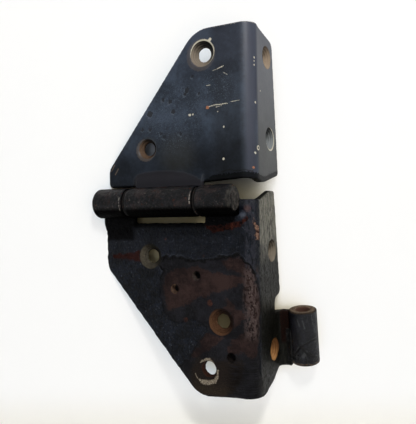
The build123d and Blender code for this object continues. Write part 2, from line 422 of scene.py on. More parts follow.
def scratches(tree, at, lines, ragged, soft=0.12):
    return anyOf(tree, *(scratch(tree, at, *line, ragged, soft) for line in lines))


def cone(tree, at, own, colour, hole):
    # a countersink, its tone turning from dark to light across it as painted shade and light, lit towards the side
    # given as worn
    offset = squareOn(tree, at, onPlate(hole["at"]))
    uneven = unevenness(tree, own, 0.5, 4, 0.6)
    away = added(tree, lengthOf(tree, offset), uneven, 0.7)
    mask = fade(tree, away, hole["radius"] - 0.2, hole["radius"] + 0.2)
    side = vectorCalc(tree, "DOT_PRODUCT", offset, onPlate(hole["worn"]), "Value")
    side = added(tree, side, uneven, 4.0)
    side = added(tree, side, calc(tree, "SINE", calc(tree, "MULTIPLY", away, 5.5)), 1.3)
    tone = ease(tree, side, -0.75 * hole["radius"], 0.75 * hole["radius"])
    tone = blendColour(tree, tone, paintColour(*hole["dark"]), paintColour(*hole["light"]))
    return mask, coat(tree, colour, tone, mask, 0.97)


def countersinks(tree, at, own, colour, holes):
    # all the cones of a leaf: where they are, and the colour with them
    bare = []
    for hole in holes:
        mask, colour = cone(tree, at, own, colour, hole)
        bare.append(mask)
    return anyOf(tree, *bare), colour


def turnedRings(tree, at, holes):
    # fine waves left by the cutter in each countersink
    height = 0.0
    for hole in holes:
        away = lengthOf(tree, squareOn(tree, at, onPlate(hole["at"])))
        wave = calc(tree, "SINE", calc(tree, "MULTIPLY", away, 7.0))
        inside = fade(tree, away, hole["radius"] - 0.3, hole["radius"])
        height = added(tree, height, wave, inside)
    return height


def newFinish(name):
    material = bpy.data.materials.new(name)
    material.use_nodes = True
    tree = material.node_tree
    return material, tree, tree.nodes["Principled BSDF"]


def ownCoordinates(tree):
    # object coordinates in millimetres
    here = addNode(tree, "TexCoord").outputs["Object"]
    return vectorCalc(tree, "MULTIPLY", here, (1 / mm, 1 / mm, 1 / mm))


def blankCoordinates(tree):
    # the place on the flattened plate: along it, in through its thickness, and up
    return addNode(tree, "Attribute", attribute_name="blank").outputs["Vector"]


def stored(tree, name):
    # a value that the mesh carries
    return addNode(tree, "Attribute", attribute_name=name).outputs["Fac"]


# the finish of the windshield leaf; places are on the flattened plate: along it, and up
frameFinish = {
    "specular": 0.45,
    "tones": {
        "paintDark": (28, 36, 47), "paintLight": (55, 66, 82), "bendHighlight": (54, 58, 72),
        "bendLine": (34, 38, 58), "flangeTop": (76, 79, 87), "flangeLow": (40, 43, 44),
        "cream": (196, 190, 172), "orange": (150, 98, 68), "tan": (98, 86, 76), "olive": (46, 45, 38),
        "archDark": (36, 35, 39), "archEdge": (48, 50, 56), "pit": (12, 14, 19),
        "pitRim": (86, 94, 106), "black": (3, 4, 5),
    },
    "shadowLines": [
        ((27.2, 71.6), (31.9, 72.5), 0.7), ((31.9, 72.5), (37.1, 71.6), 0.7),
        ((37.1, 71.6), (42.2, 71.8), 0.7), ((42.2, 71.8), (47.0, 71.0), 0.7),
    ],
    "roughness": 0.42,
    # from and to along the flattened plate
    "neckStrip": (16.0, 22.0),
    "shadedStrip": (22.0, 41.0),
    "bendStrip": (43.0, 49.8),
    "lineStrip": (49.7, 51.6),
    "flangeStrip": (51.4, 52.6),
    # from and to up the plate
    "lowRise": (74.0, 114.0),
    "lineRise": (90.0, 120.0),
    "flangeRise": (70.0, 150.0),
    "topRise": (122.0, 150.0),
    "oliveCloud": ((-4.0, 84.0), 12.0),
    # the worn direction of each countersink is the side painted lit; the far side is painted shade
    "holes": [
        {"at": (14.8, 144.8), "radius": 8.1, "dark": (16, 15, 14), "light": (120, 110, 98),
         "worn": (-0.66, -0.75)},
        {"at": (-26.3, 89.0), "radius": 6.4, "dark": (9, 7, 6), "light": (84, 66, 52), "worn": (-0.86, -0.5)},
        {"at": (68.1, 143.5), "radius": 7.1, "dark": (72, 62, 54), "light": (142, 126, 108),
         "worn": (0.8, -0.6)},
        {"at": (71.6, 93.1), "radius": 7.1, "dark": (20, 22, 24), "light": (120, 124, 126),
         "worn": (0.5, -0.86)},
    ],
    # hole, shift and width of a bright ring; hole, width and strength of a stain round it
    "holeRings": [(0, (0.25, 0.5), 0.15), (3, (0.35, -0.35), 0.2)],
    "holeStains": [(0, 1.8, 0.28), (1, 1.0, 0.4)],
    "scratches": [
        ((18.6, 111.6), (23.1, 112.3), 0.55), ((23.1, 112.3), (31.4, 112.4), 0.6),
        ((34.0, 113.1), (39.2, 113.4), 0.4), ((21.8, 133.3), (25.4, 134.0), 0.3),
        ((25.4, 134.2), (29.2, 135.2), 0.6), ((17.6, 124.7), (20.0, 124.7), 0.4),
        ((24.0, 110.9), (27.5, 111.4), 0.3), ((29.4, 131.2), (31.8, 129.6), 0.3),
    ],
    "chips": [
        ((5.7, 107.8), 0.9), ((7.9, 108.0), 0.5), ((25.0, 108.1), 0.45), ((28.9, 98.4), 0.6),
        ((28.4, 79.2), 0.7), ((49.3, 139.0), 0.5), ((49.2, 136.8), 0.4), ((49.2, 134.6), 0.5),
        ((49.7, 112.1), 0.6), ((49.0, 82.1), 0.7), ((56.3, 120.3), 0.5), ((20.4, 152.6), 1.0),
    ],
    "orangeChips": [((18.1, 111.3), 1.1), ((47.5, 73.3), 0.7)],
    "pits": [
        ((4.0, 123.5), 1.7), ((2.5, 121.2), 1.2), ((-13.5, 119.4), 1.3), ((-8.4, 117.7), 1.5),
        ((-6.2, 111.2), 1.7), ((-23.6, 111.3), 2.3), ((-29.4, 101.6), 1.1), ((-23.7, 101.1), 1.2),
        ((-15.5, 97.9), 1.1), ((-13.2, 95.6), 1.3), ((-1.1, 96.7), 1.2), ((7.9, 131.6), 1.1),
        ((12.3, 120.6), 1.2),
    ],
    "ringChip": ((51.9, 85.2), 1.5),
    "scuffs": [((25.0, 122.0), 12.0, 0.6), ((-6.0, 108.0), 22.0, 0.5)],
    "cornerMarks": [((-54.6, 76.0), (-52.2, 79.8), 0.8), ((-51.6, 73.6), (-49.2, 77.2), 0.8)],
    "arch": [
        (-37.2, 60.0), (-37.2, 65.4), (-36.7, 69.7), (-34.0, 72.6), (-27.8, 73.8), (-17.9, 74.2),
        (-8.2, 73.8), (1.3, 72.3), (8.6, 69.7), (14.0, 66.7), (17.6, 64.8), (17.6, 60.0),
    ],
}


def rimOf(tree, at, centre, radius, shift, width, ragged):
    # a broken ring round a hole, thick on the side that shift points to
    outer = spot(tree, at, shifted(centre, shift), radius + width, ragged, 0.25)
    inner = spot(tree, at, centre, radius, 0.0, 0.15)
    return calc(tree, "SUBTRACT", outer, inner, clamp=True)


def barrelPlaces(tree, own):
    # the barrel, its underside and gaps once more, for the gloss, which takes nothing from a group
    across, _, up = split(tree, own)
    offset = vectorCalc(tree, "SUBTRACT", own, (0, pivot[1], pivot[2]))
    away = lengthOf(tree, vectorCalc(tree, "MULTIPLY", offset, (0, 1, 1)))
    hidden = [fade(tree, up, pivot[2] - 5.2, pivot[2] - 1.8)]
    for washer in (washerLeft, washerRight):
        hidden.append(fade(tree, apart(tree, across, (washer[0] + washer[1]) / 2), 1.1, 1.5))
    return fade(tree, away, barrelRadius + 0.35, barrelRadius + 1.1), anyOf(tree, *hidden)


def dressBarrel(tree, own, skin):
    # rolled knuckles: brown-black and speckled with rust, with painted shade underneath and in the gaps, and
    # painted highlights on their rims in places
    tones = tonesOf(knuckleLook)
    zones = place(tree, "knuckle", Place=own)
    barrel = zones["Barrel"]
    crust = place(tree, "crust", Place=own)
    rust = place(tree, "rust", Place=own, Age=0.5)
    dark = blendColour(tree, crust["Tone"], tones["dark"], tones["light"])
    dark = coat(tree, dark, tones["stain"], ease(tree, grain(tree, own, 0.12, 4, 0.6), 0.5, 0.62), 0.6)
    speck = ease(tree, grain(tree, own, 0.45, 5, 0.7), 0.6, 0.67)
    dark = coat(tree, dark, rust["Colour"], speck, 0.65)
    rubbed = times(tree, ease(tree, grain(tree, own, 0.7, 5, 0.8), 0.585, 0.64),
                   ease(tree, grain(tree, own, 0.1, 3), 0.44, 0.54))
    dark = coat(tree, dark, tones["rubbed"], rubbed, 0.6)
    worn = ease(tree, grain(tree, own, 0.4, 5, 0.7), 0.38, 0.66)
    dark = coat(tree, dark, blendColour(tree, worn, tones["endDark"], tones["endLight"]), zones["End"], 0.9)
    centre, radius = knuckleLook["chip"]
    dark = coat(tree, dark, tones["chip"], spot(tree, own, centre, radius, 0.7))
    # painted shade: the barrel's underside darkened almost to black
    dark = darken(tree, zones["UnderShade"], dark, 0.02)
    # painted shade: black in the gaps beside the washers
    dark = coat(tree, dark, tones["gap"], zones["GapShade"], 0.95)
    # painted highlight on the rims beside the gaps
    dark = coat(tree, dark, tones["rimHighlight"], zones["Bright"], 0.9)
    onBarrel, hidden = barrelPlaces(tree, own)
    relief = calc(tree, "MULTIPLY", crust["Height"], skin["barrelRelief"])
    return {
        "colour": blendColour(tree, barrel, skin["colour"], dark),
        "rough": blendValue(tree, barrel, skin["rough"], added(tree, 0.45, speck, 0.3)),
        "specular": blendValue(tree, onBarrel, skin["specular"], blendValue(tree, hidden, 0.18, 0.01)),
        "height": blendValue(tree, barrel, skin["height"], relief),
    }


def wear(tree, shader, skin, relief):
    # feeds a finished skin into its shader, with the relief in millimetres
    feed(tree, shader.inputs["Base Color"], skin["colour"])
    feed(tree, shader.inputs["Roughness"], skin["rough"])
    grazing = addNode(tree, "LayerWeight", {"Blend": 0.5}).outputs["Facing"]
    steep = fade(tree, grazing, 0.6, 0.85)   # worn rims don't mirror the white surroundings
    feed(tree, shader.inputs["Specular IOR Level"], times(tree, steep, skin["specular"]))
    bump = addNode(tree, "Bump", {"Distance": relief * mm, "Height": skin["height"]})
    feed(tree, shader.inputs["Normal"], bump.outputs["Normal"])


def frameBase(tree, at, paint, low):
    # brushed paint, darker low down, paler at the top, painted shade before the bend, a painted highlight on it,
    # and a side flange paler higher up, partly worn and partly painted reflection
    look, tones = frameFinish, tonesOf(frameFinish)
    along, _, up = split(tree, at)
    streak = paint["Streak"]
    colour = blendColour(tree, ease(tree, paint["Mottle"], 0.3, 0.75), tones["paintDark"],
                         tones["paintLight"])
    colour = darken(tree, within(tree, along, *look["shadedStrip"], 3.5), colour, 0.55)
    # a painted highlight along the bend
    bend = within(tree, along, *look["bendStrip"], 1.8)
    colour = coat(tree, colour, tones["bendHighlight"], bend, ease(tree, streak, 0.2, 0.6, 0.45, 1.0))
    line = times(tree, within(tree, along, *look["lineStrip"], 0.5), ease(tree, up, *look["lineRise"]))
    colour = coat(tree, colour, tones["bendLine"], line, 0.7)
    # the side flange paler higher up: partly worn paint, partly painted reflection
    flange = blendColour(tree, ease(tree, up, *look["flangeRise"]), tones["flangeLow"], tones["flangeTop"])
    onFlange = ease(tree, along, *look["flangeStrip"])
    colour = coat(tree, colour, flange, onFlange, ease(tree, streak, 0.1, 0.6, 0.75, 1.0))
    colour = darken(tree, low, colour, 0.33)
    centre, radius = look["oliveCloud"]
    colour = coat(tree, colour, tones["olive"], spot(tree, at, centre, radius, 8.0, 7.0), 0.4)
    return coat(tree, colour, tones["bendHighlight"], ease(tree, up, *look["topRise"]), 0.3)


def frameMarks(tree, at, colour):
    # pale rings of cream paint round the holes, and pits, each with a painted highlight on one side
    look, tones = frameFinish, tonesOf(frameFinish)
    for hole, shift, width in look["holeRings"]:
        hole = look["holes"][hole]
        ring = rimOf(tree, at, hole["at"], hole["radius"] - 0.25, shift, width + 0.25, 0.7)
        colour = coat(tree, colour, tones["cream"], ring, 0.9)
    for centre, radius in look["pits"]:
        # a painted highlight on one side of each pit
        lit = spot(tree, at, shifted(centre, (-0.4, -0.6)), radius * 1.05, 3.4)
        colour = coat(tree, colour, tones["pitRim"], lit, 0.35)
        colour = coat(tree, colour, tones["pit"], spot(tree, at, centre, radius * 0.9, 3.4), 0.85)
    return colour


def frameCuts(tree, at, up, speckle):
    # scratches and chips down to the pale coat beneath
    look = frameFinish
    broken = ease(tree, grain(tree, at, 1.7, 3, 0.6), 0.4, 0.5)
    cuts = [times(tree, scratches(tree, at, look["scratches"], 0.9), broken)]
    cuts += [spot(tree, at, centre, radius, 1.3) for centre, radius in look["chips"]]
    centre, radius = look["ringChip"]
    inner = spot(tree, at, centre, radius * 0.55, 0.5)
    cuts.append(calc(tree, "SUBTRACT", spot(tree, at, centre, radius, 0.6), inner, clamp=True))
    top = ease(tree, up, leafHigh[2] - 1.2, leafHigh[2] - 0.5)
    cuts.append(times(tree, top, ease(tree, speckle, 0.56, 0.62)))
    return anyOf(tree, *cuts)


def makeFramePaint():
    look, tones = frameFinish, tonesOf(frameFinish)
    material, tree, shader = newFinish("framePaint")
    at = blankCoordinates(tree)
    own = ownCoordinates(tree)
    along, depth, up = split(tree, at)
    outside = fade(tree, depth, 0.8, 1.6)
    paint = place(tree, "paint", Place=own)
    rust = place(tree, "rust", Place=own, Age=0.45)
    low = times(tree, fade(tree, up, *look["lowRise"]), ease(tree, along, 40.0, 45.0, 1.0, 0.3))
    colour = frameBase(tree, at, paint, low)
    speckle = grain(tree, own, 1.6, 3, 0.6)
    for centre, radius, share in look["scuffs"]:
        cloud = spot(tree, at, centre, radius, 6.0, 6.0)
        colour = coat(tree, colour, tones["pitRim"], cloud, ease(tree, speckle, 0.58, 0.66), share)
        colour = coat(tree, colour, tones["pit"], cloud, fade(tree, speckle, 0.36, 0.43), share)
    wobble = unevenness(tree, at, 0.9, 4, 0.65)
    arch = added(tree, stored(tree, "arch"), wobble, 1.4)
    inArch = times(tree, ease(tree, arch, -0.3, 0.3), outside)
    colour = coat(tree, colour, tones["archDark"], inArch, 0.9)
    archEdge = times(tree, fade(tree, calc(tree, "ABSOLUTE", arch), 0.2, 0.8), outside)
    colour = coat(tree, colour, tones["archEdge"], archEdge, 0.4)
    # painted shade: a black band along the plate's lower edge, wider past the neck
    foot = calc(tree, "SUBTRACT", stored(tree, "foot"), ease(tree, along, *look["neckStrip"], 0.0, 2.5))
    foot = fade(tree, added(tree, foot, wobble, 6.0), 0.9, 1.3)
    colour = coat(tree, colour, tones["black"], foot, 0.92)
    # painted shadow lines near the plate's lower edge
    colour = coat(tree, colour, tones["black"], scratches(tree, at, look["shadowLines"], 1.8, 0.2), 0.85)
    for hole, width, share in look["holeStains"]:
        hole = look["holes"][hole]
        stain = rimOf(tree, at, hole["at"], hole["radius"], (-0.8, -0.8), width, 2.2)
        colour = coat(tree, colour, tones["tan"], stain, share)
    bare, colour = countersinks(tree, at, own, colour, look["holes"])
    colour = frameMarks(tree, at, colour)
    cut = times(tree, frameCuts(tree, at, up, speckle), outside)
    colour = coat(tree, colour, tones["cream"], cut, 0.92)
    for mark in look["cornerMarks"]:
        colour = coat(tree, colour, tones["tan"], scratch(tree, at, *mark, 1.0), 0.7)
    for centre, radius in look["orangeChips"]:
        colour = coat(tree, colour, tones["orange"], spot(tree, at, centre, radius, 1.0))
    height = calc(tree, "SUBTRACT", paint["Height"], calc(tree, "MULTIPLY", cut, 0.6))
    height = added(tree, height, turnedRings(tree, at, look["holes"]), 0.25)
    height = added(tree, height, times(tree, bare, rust["Height"]), 0.5)
    worn = anyOf(tree, bare, cut)
    dull = anyOf(tree, bare, inArch, foot)
    skin = dressBarrel(tree, own, {
        "colour": colour,
        "rough": blendValue(tree, worn, added(tree, look["roughness"] - 0.1, paint["Mottle"], 0.25), 0.7),
        "specular": blendValue(tree, dull, blendValue(tree, low, look["specular"], 0.2), 0.1),
        "height": height,
        "barrelRelief": 3.0,
    })
    wear(tree, shader, skin, 0.13)
    return material


# the finish of the cowl leaf, its patches outlined on the flattened plate
cowlFinish = {
    "specular": 0.1,
    "tones": {
        "paint": (3, 4, 6), "paintLight": (25, 30, 41), "glint": (104, 110, 122), "crackAndShadow": (2, 2, 3),
        "litLip": (66, 70, 80), "thin": (12, 12, 15), "thinLight": (26, 26, 31), "primer": (50, 37, 35),
        "primerDark": (26, 19, 19), "stripPrimer": (84, 71, 69), "speckle": (150, 134, 128),
        "brown": (38, 31, 26), "olive": (84, 74, 54), "flange": (11, 11, 8),
        "flangeLight": (110, 108, 98), "cream": (168, 158, 141), "creamDark": (92, 80, 68),
        "red": (48, 20, 14), "orange": (160, 124, 104), "band": (48, 49, 57), "paleHighlight": (92, 98, 112),
        "pink": (112, 84, 78), "redder": (74, 37, 26), "arm": (34, 17, 12), "armDark": (9, 6, 5),
        "black": (2, 2, 3),
    },
    "thinZone": [
        (-14.4, 19.1), (-4.9, 19.3), (6.3, 16.8), (18.2, 17.5), (25.9, 19.9), (37.3, 21.3), (40.0, 18.4),
        (44.2, 15.9), (47.7, 9.8), (49.8, 2.9), (51.7, -5.9), (50.0, -42.2), (54.6, -70.0), (5.8, -70.0),
        (-5.1, -49.8), (3.2, -42.7), (5.3, -37.2), (10.4, -31.5), (15.9, -26.6), (13.6, -21.6),
        (5.6, -18.6), (-4.6, -22.9), (-11.9, -19.8), (-15.5, -14.6), (-18.5, 0.8), (-15.6, 10.0),
        (-18.8, 14.5),
    ],
    "redPatch": [
        (16.5, 39.6), (23.0, 38.8), (32.0, 39.6), (38.5, 41.2), (42.5, 44.0), (42.9, 41.8), (36.5, 37.8),
        (28.0, 35.4), (20.0, 35.2), (16.5, 36.6),
    ],
    "streakPatch": [
        (-54.0, 20.0), (-44.0, 21.4), (-33.2, 22.8), (-32.6, 15.6), (-38.0, 17.0), (-54.0, 18.4),
    ],
    "flakes": [
        ((10.6, -45.2), (11.9, -43.9), 0.8), ((12.2, -44.2), (13.9, -43.0), 1.0),
        ((14.0, -43.1), (16.6, -43.1), 1.8), ((16.6, -43.1), (18.6, -44.8), 2.0),
        ((18.6, -44.8), (19.4, -46.8), 1.4), ((22.3, -49.0), (21.9, -52.9), 1.1),
        ((21.9, -52.9), (19.9, -55.6), 1.9), ((19.9, -55.8), (16.2, -57.0), 2.6),
        ((16.2, -57.0), (12.0, -57.1), 2.8), ((12.0, -57.1), (9.8, -56.2), 1.6),
        ((6.8, -52.6), (8.6, -55.6), 0.5),
    ],
    "bendFlakes": [
        [(46.8, 43.0), (48.2, 42.6), (49.0, 39.4), (50.8, 38.4), (51.0, 31.0), (49.0, 30.6), (48.6, 35.4),
         (47.4, 38.6)],
    ],
    "primerPatches": [
        [(-16.0, 0.8), (-12.4, 9.6), (-5.1, 12.1), (9.2, 13.4), (18.1, 11.0), (29.6, 9.6), (39.8, 8.3),
         (40.6, 4.9), (33.2, 2.1), (21.7, -1.9), (9.9, -6.0), (-0.3, -11.4), (-11.9, -14.4), (-14.0, -8.2)],
        [(31.6, 20.0), (37.2, 19.2), (43.4, 16.3), (46.7, 6.5), (49.1, -0.5), (50.9, -7.5), (49.7, -26.8),
         (47.8, -39.3), (45.0, -41.5), (44.3, -29.7), (41.9, -22.1), (44.5, -16.2), (39.6, -3.6),
         (40.7, 8.3), (30.6, 13.1), (25.9, 17.3)],
        [(28.4, -4.2), (31.2, -5.7), (34.8, -10.6), (40.3, -12.8), (41.1, -16.2), (36.5, -20.7),
         (32.8, -22.7), (33.8, -18.4), (31.1, -13.4), (25.4, -11.2), (29.3, -8.4)],
        [(17.4, -26.5), (23.2, -28.6), (28.9, -28.1), (21.2, -33.1), (15.3, -37.2), (8.2, -42.2),
         (4.2, -41.7), (5.3, -38.1), (11.3, -35.8), (10.4, -31.5), (13.4, -28.6)],
        [(32.6, -29.5), (44.4, -22.1), (47.0, -27.3), (47.9, -35.9), (44.1, -40.6), (39.9, -35.7),
         (36.2, -37.7), (29.7, -38.4), (28.8, -35.0)],
    ],
    "brownPatch": [
        (9.2, -43.0), (22.9, -42.5), (36.2, -41.1), (39.8, -43.3), (37.8, -52.8), (34.0, -60.0),
        (24.5, -64.7), (10.8, -65.7), (2.9, -59.6), (4.1, -49.7),
    ],
    # the worn direction of each countersink is the side painted lit; the far side is painted shade
    "holes": [
        {"at": (-24.9, 19.5), "radius": 8.1, "dark": (28, 26, 22), "light": (76, 71, 61),
         "worn": (-0.86, -0.5)},
        {"at": (24.9, -19.5), "radius": 8.1, "dark": (26, 14, 10), "light": (84, 58, 40),
         "worn": (-0.8, -0.6)},
        {"at": (16.3, -48.6), "radius": 4.9, "dark": (20, 12, 10), "light": (52, 30, 22),
         "worn": (-0.7, -0.7)},
        {"at": (72.4, 22.5), "radius": 7.1, "dark": (44, 38, 32), "light": (122, 113, 100),
         "worn": (0.6, -0.8)},
        {"at": (74.1, -40.0), "radius": 7.1, "dark": (92, 60, 34), "light": (184, 134, 84),
         "worn": (-0.6, -0.6)},
    ],
    "pilotRadius": 2.8,
    "pilotFloor": 2.3,
    # small holes, painted black inside as shade: a crescent of each wall shows, on the side that the shift points
    # away from
    "pilots": [
        ((8.3, 7.9), (0.2, 0.5), (58, 50, 46)), ((-7.2, -0.8), (0.6, 0.3), (84, 66, 54)),
        ((31.2, -40.4), (0.5, 0.5), (22, 18, 16)),
    ],
    # each outline's ragged fringe and the softness of its edge
    "fringes": [
        ("thin", 2.6, 0.2), ("primer", 6.0, 0.5), ("brown", 9.0, 2.0), ("red", 3.5, 0.5),
        ("streak", 3.5, 0.6), ("bend", 4.5, 0.3),
    ],
    "orangeSpots": [((17.7, -8.2), 1.9), ((0.5, -19.8), 1.5), ((14.0, 20.4), 0.8), ((-13.0, 30.5), 0.7)],
    "roughness": 0.46,
    # from and to along the flattened plate
    "combedStrip": (30.0, 50.0),
    "primerStrip": (40.5, 49.5),
    "speckStrip": (42.6, 47.6),
    "bandStrip": (41.5, 48.0),
    "redderStrip": (22.0, 34.0),
    "flangeStrip": (50.8, 52.8),
    # from and to up the plate
    "smoothRise": (14.0, 26.0),
    "highRise": (2.0, 12.0),
    "oliveRise": (-54.0, -64.0),
    "combedRise": (-36.0, -46.0),
    "darkerRise": (-40.0, -50.0),
    "primerRise": (-28.0, 13.0),
    "bandRise": (10.0, 17.0),
    "brightRise": (11.0, 33.0),
    # painted shade, black in the corners beside the knuckles under the barrel: from and to up the plate, and
    # outboard
    "corners": [((36.5, 39.5), (38.5, 35.0)), ((28.5, 31.0), (-36.0, -39.0))],
    "arm": ((49.3, 50.4), (-38.5, -36.0)),   # from and to outboard, and up
    "highlightAndSmear": [("paleHighlight", (40.4, 45.2), 2.6, 1.4, 0.55), ("pink", (43.2, 49.0), 2.8, 1.2, 0.35)],
}


def cowlPlaces(tree):
    # where each point is on the cowl leaf, the grains that all its layers share, and its patches
    at = blankCoordinates(tree)
    own = ownCoordinates(tree)
    along, depth, up = split(tree, at)
    here = SimpleNamespace(at=at, own=own, along=along, up=up, outboard=split(tree, own)[0])
    here.outside = fade(tree, depth, 0.9, 1.7)
    here.ragged = unevenness(tree, at, 0.9, 5, 0.7)
    here.fine = grain(tree, at, 1.7, 4, 0.7)
    here.coarse = grain(tree, at, 0.5, 5, 0.7)
    here.weather = grain(tree, stretched(tree, own, 0.5, 0.5, 0.14), 1.0, 5, 0.68, 0.8)
    here.onFlange = ease(tree, added(tree, along, here.ragged, 2.0), *cowlFinish["flangeStrip"])
    here.edges, here.masks = {}, {}
    for name, fringe, soft in cowlFinish["fringes"]:
        here.edges[name] = added(tree, stored(tree, name), here.ragged, fringe)
        here.masks[name] = ease(tree, here.edges[name], -soft, soft)
    return here


def cowlThin(tree, here, combed, rows):
    # where the crust has gone: thin paint, primer and brown rust, combed low down beside the bend
    look, tones = cowlFinish, tonesOf(cowlFinish)
    mottle = place(tree, "paint", Place=here.own)["Mottle"]
    thin = blendColour(tree, ease(tree, mottle, 0.35, 0.65), tones["thin"], tones["thinLight"])
    primer = ease(tree, added(tree, mottle, here.fine, 0.6), 0.62, 0.98)
    primer = blendColour(tree, primer, tones["primerDark"], tones["primer"])
    thin = coat(tree, thin, primer, here.masks["primer"])
    brown = blendColour(tree, ease(tree, here.fine, 0.35, 0.6), tones["thin"], tones["brown"])
    olive = blendColour(tree, ease(tree, here.fine, 0.52, 0.68), tones["brown"], tones["olive"])
    brown = coat(tree, brown, olive, ease(tree, here.up, *look["oliveRise"]), 0.8)
    thin = coat(tree, thin, brown, here.masks["brown"])
    thin = darken(tree, times(tree, combed, ease(tree, here.up, *look["darkerRise"])), thin, 0.5)
    thin = coat(tree, thin, tones["thinLight"], combed, ease(tree, rows, 0.5, 0.62), 0.7)
    return darken(tree, times(tree, combed, fade(tree, rows, 0.36, 0.5)), thin, 0.35)


def cowlBend(tree, here, colour, strip, bared, high):
    # beside the bend: bared primer, a weathered band, and the crust's edge with a dark line, partly crack and
    # partly painted shadow, and a painted highlight on its lip
    look, tones = cowlFinish, tonesOf(cowlFinish)
    colour = coat(tree, colour, tones["stripPrimer"], bared, 0.7)
    specks = within(tree, added(tree, here.along, here.ragged, 5.0), *look["speckStrip"], 1.4)
    specks = times(tree, strip, specks, ease(tree, grain(tree, here.at, 1.0, 5, 0.8), 0.57, 0.62))
    colour = coat(tree, colour, tones["speckle"], specks, 0.6)
    band = times(tree, within(tree, here.along, *look["bandStrip"], 1.2),
                 ease(tree, here.up, *look["bandRise"]),
                 ease(tree, here.weather, 0.42, 0.52))
    colour = coat(tree, colour, tones["band"], band, 0.75)
    edge = here.edges["thin"]
    # a dark line at the crust's edge: a crack, and painted shadow below the raised crust
    edgeShadow = times(tree, fade(tree, calc(tree, "ABSOLUTE", edge), 0.35, 1.15), here.outside)
    # a painted highlight on the crust's lip
    litLip = times(tree, fade(tree, apart(tree, edge, -1.3), 0.2, 0.8), ease(tree, here.fine, 0.42, 0.55))
    colour = coat(tree, colour, tones["litLip"], litLip, high, 0.35)
    return coat(tree, colour, tones["crackAndShadow"], edgeShadow, high, 0.95)


def cowlRust(tree, here, colour, cornerShade, rust):
    # painted black shade in the corners, red and orange rust, and near the knuckle a painted highlight and a pink
    # smear
    look, tones = cowlFinish, tonesOf(cowlFinish)
    masks, fine, coarse = here.masks, here.fine, here.coarse
    # painted shade: the corners beside the knuckles near black
    colour = coat(tree, colour, tones["black"], cornerShade, 0.93)
    red = blendColour(tree, ease(tree, coarse, 0.36, 0.52), tones["black"], tones["red"])
    redder = times(tree, ease(tree, coarse, 0.52, 0.66), ease(tree, here.along, *look["redderStrip"]))
    colour = coat(tree, colour, coat(tree, red, tones["redder"], redder), masks["red"], 0.95)
    colour = coat(tree, colour, tones["red"], masks["streak"], ease(tree, fine, 0.3, 0.5), 0.85)
    for centre, radius in look["orangeSpots"]:
        colour = coat(tree, colour, rust["Colour"], spot(tree, here.at, centre, radius, 2.2, 0.3), 0.55)
    flake = blendColour(tree, ease(tree, coarse, 0.4, 0.56), tones["red"], tones["orange"])
    colour = coat(tree, colour, flake, masks["bend"], ease(tree, fine, 0.42, 0.5), 0.85)
    # a painted highlight near the knuckle's end, and a pink smear
    for name, centre, ragged, soft, share in look["highlightAndSmear"]:
        colour = coat(tree, colour, tones[name], spot(tree, here.at, centre, 1.8, ragged, soft), share)
    return colour


def cowlFlange(tree, here, colour):
    # the side flange, pale higher up, partly weathered paint and partly painted reflection, and finely cracked
    look, tones = cowlFinish, tonesOf(cowlFinish)
    # paler higher up: partly weathered paint, partly painted reflection
    pale = times(tree, here.outside, ease(tree, added(tree, here.up, here.ragged, 16.0), *look["brightRise"]),
                 ease(tree, here.weather, 0.38, 0.6, 0.2, 1.0))
    faint = times(tree, here.outside, ease(tree, here.weather, 0.42, 0.68), 0.05)
    flange = blendColour(tree, anyOf(tree, pale, faint), tones["flange"], tones["flangeLight"])
    cracked = times(tree, fade(tree, apart(tree, here.weather, 0.46), 0.0, 0.02),
                    ease(tree, here.fine, 0.48, 0.56))
    flange = darken(tree, times(tree, cracked, 0.8), flange, 0.15)
    return coat(tree, colour, flange, here.onFlange)


def cowlHoles(tree, here, colour):
    # peeled flakes round the corner hole, the countersinks and the started holes
    look, tones = cowlFinish, tonesOf(cowlFinish)
    at = here.at
    peeled = scratches(tree, at, look["flakes"], 1.8, 0.25)
    broken = ease(tree, added(tree, here.fine, here.ragged, 0.5), 0.38, 0.46)
    cream = blendColour(tree, ease(tree, here.fine, 0.42, 0.62), tones["creamDark"], tones["cream"])
    colour = coat(tree, colour, cream, peeled, broken, here.outside, 0.92)
    bare, colour = countersinks(tree, at, here.own, colour, look["holes"])
    for centre, shift, wall in look["pilots"]:
        # painted shade: each started hole black inside but for a crescent of wall
        shaded = spot(tree, at, shifted(centre, shift), look["pilotFloor"], 0.5)
        inside = blendColour(tree, shaded, paintColour(*wall), tones["black"])
        colour = coat(tree, colour, inside, spot(tree, at, centre, look["pilotRadius"], 0.5))
    return bare, colour


